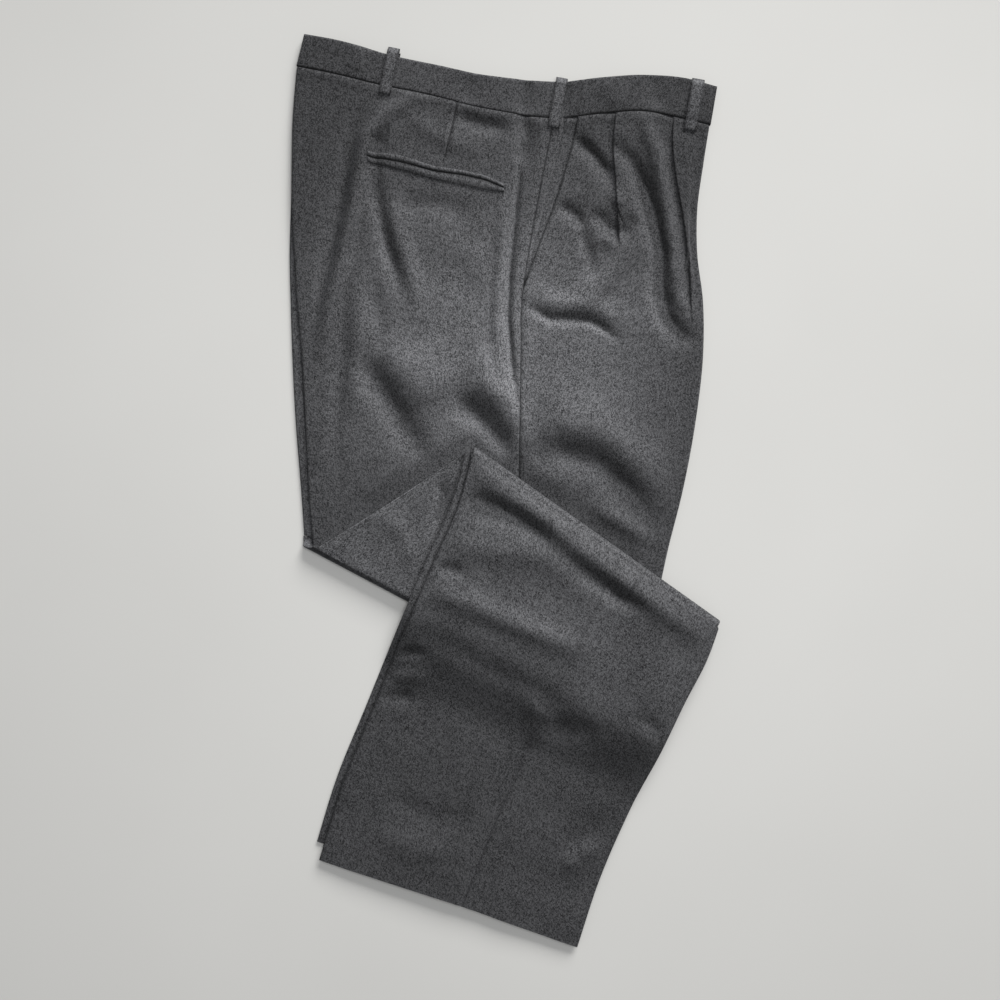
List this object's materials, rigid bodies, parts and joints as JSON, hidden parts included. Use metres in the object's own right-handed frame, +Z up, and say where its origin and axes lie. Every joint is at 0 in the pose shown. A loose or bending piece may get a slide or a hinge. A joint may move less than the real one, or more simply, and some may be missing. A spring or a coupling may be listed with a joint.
{
  "type": "pleated dress trousers",
  "caption": "Grey wool flannel dress trousers with a pleated front, belt loops, slant side pocket and jetted back pocket, pressed and folded flat on a surface.",
  "frame": {"origin": "centre of the bounding box in plan, on the surface that the trousers lie on", "axes": "+Y from the hems to the waist, +X from the back of the trousers to the front, +Z up off the surface"},
  "size_m": [0.428, 0.908, 0.0188],
  "materials": {
    "wool_flannel": "milled wool flannel, mid to dark grey melange with a soft nap and a fine twill"
  },
  "bodies": {
    "root": {"right_waistband": "wool_flannel", "left_waistband": "wool_flannel", "right_back_upper": "wool_flannel", "right_front_upper": "wool_flannel", "right_pocket_facing": "wool_flannel", "back_pocket_upper_welt": "wool_flannel", "back_pocket_lower_welt": "wool_flannel", "right_belt_loop_back": "wool_flannel", "right_belt_loop_side": "wool_flannel", "right_belt_loop_front": "wool_flannel", "left_belt_loop_back": "wool_flannel", "left_belt_loop_side": "wool_flannel", "left_belt_loop_front": "wool_flannel", "left_back_upper": "wool_flannel", "left_front_upper": "wool_flannel", "left_back_fold": "wool_flannel", "left_front_fold": "wool_flannel", "right_back_lower": "wool_flannel", "right_front_lower": "wool_flannel", "left_back_lower": "wool_flannel", "left_front_lower": "wool_flannel", "right_leg_inner_hem": "wool_flannel", "left_leg_inner_hem": "wool_flannel", "hidden_layers": "wool_flannel"}
  },
  "joints": []
}
